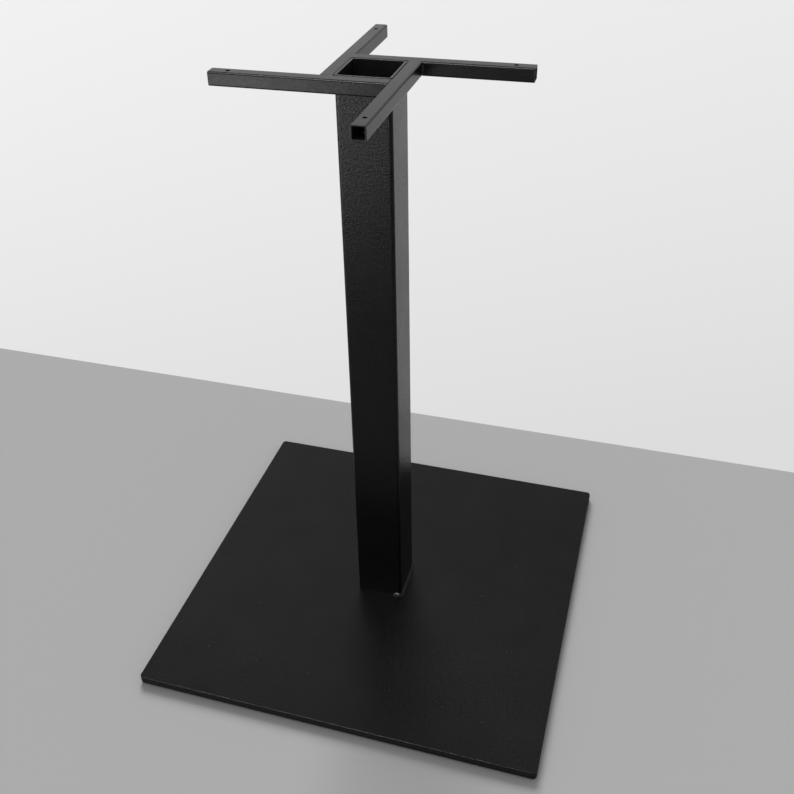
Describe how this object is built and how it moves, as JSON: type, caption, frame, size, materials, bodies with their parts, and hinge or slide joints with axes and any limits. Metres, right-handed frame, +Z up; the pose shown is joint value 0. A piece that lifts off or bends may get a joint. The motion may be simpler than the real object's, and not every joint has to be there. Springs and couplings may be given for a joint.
{
  "type": "pedestal table base",
  "caption": "Welded steel pedestal base for a small table: square foot plate, square hollow column and a pinwheel of square tube arms with screw holes for the top.",
  "frame": {"origin": "on the floor, under the middle of the foot plate", "axes": "+Z up along the column, +X to the right along the front arm, +Y to the back"},
  "size_m": [0.5, 0.5, 0.72],
  "materials": {
    "black_coated_steel": "fine-textured satin black powder coat",
    "coated_weld": "weld bead under the same black powder coat",
    "felt": "pressed dark grey felt"
  },
  "bodies": {
    "root": {"base_plate": "black_coated_steel", "column": "black_coated_steel", "front_arm": "black_coated_steel", "right_arm": "black_coated_steel", "back_arm": "black_coated_steel", "left_arm": "black_coated_steel", "front_arm_weld": "coated_weld", "right_arm_weld": "coated_weld", "back_arm_weld": "coated_weld", "left_arm_weld": "coated_weld", "right_foot_weld": "coated_weld", "left_foot_weld": "coated_weld", "front_left_pad": "felt", "front_right_pad": "felt", "back_right_pad": "felt", "back_left_pad": "felt"}
  },
  "joints": []
}
